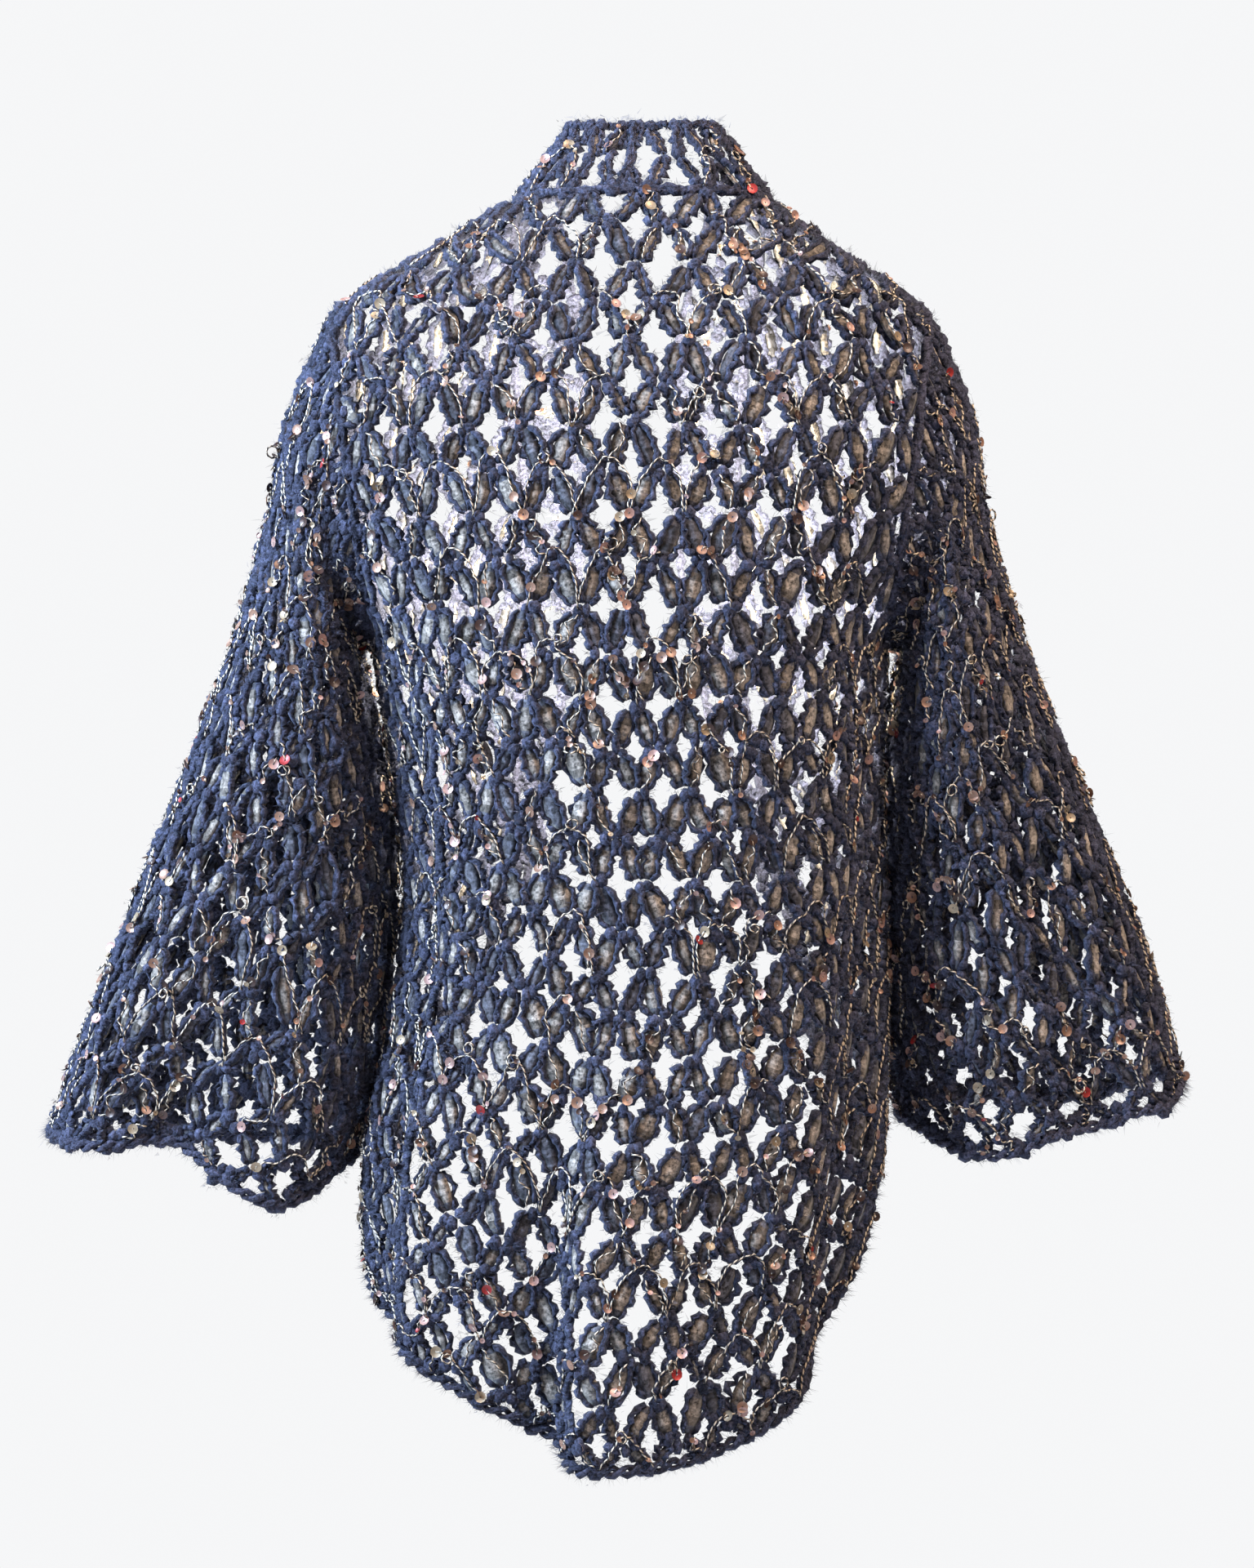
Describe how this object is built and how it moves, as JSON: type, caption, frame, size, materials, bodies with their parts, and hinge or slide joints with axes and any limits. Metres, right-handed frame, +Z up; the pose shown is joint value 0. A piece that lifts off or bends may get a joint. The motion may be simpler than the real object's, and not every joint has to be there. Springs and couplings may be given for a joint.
{
  "type": "open-knit cardigan",
  "caption": "Open cardigan in a fuzzy navy diamond mesh with scattered sequins, standing collar, wide bell sleeves and a rounded hem, in its hollow worn form.",
  "frame": {"origin": "on the neck's axis at the height of the back neck seam, where the cardigan hangs from the neck and shoulders", "axes": "+Z up, the open fronts face -Y, the wearer's left is +X"},
  "size_m": [0.7046, 0.2519, 0.8002],
  "materials": {
    "navy_yarn": "fuzzy",
    "edge_yarn": "fuzzy"
  },
  "bodies": {
    "root": {"back": "navy_yarn", "front_left": "navy_yarn", "front_right": "navy_yarn", "sleeve_left": "navy_yarn", "sleeve_right": "navy_yarn", "collar_left": "navy_yarn", "collar_right": "navy_yarn", "hem_edging": "edge_yarn", "front_edging_left": "edge_yarn", "front_edging_right": "edge_yarn", "cuff_edging_left": "edge_yarn", "cuff_edging_right": "edge_yarn"}
  },
  "joints": []
}
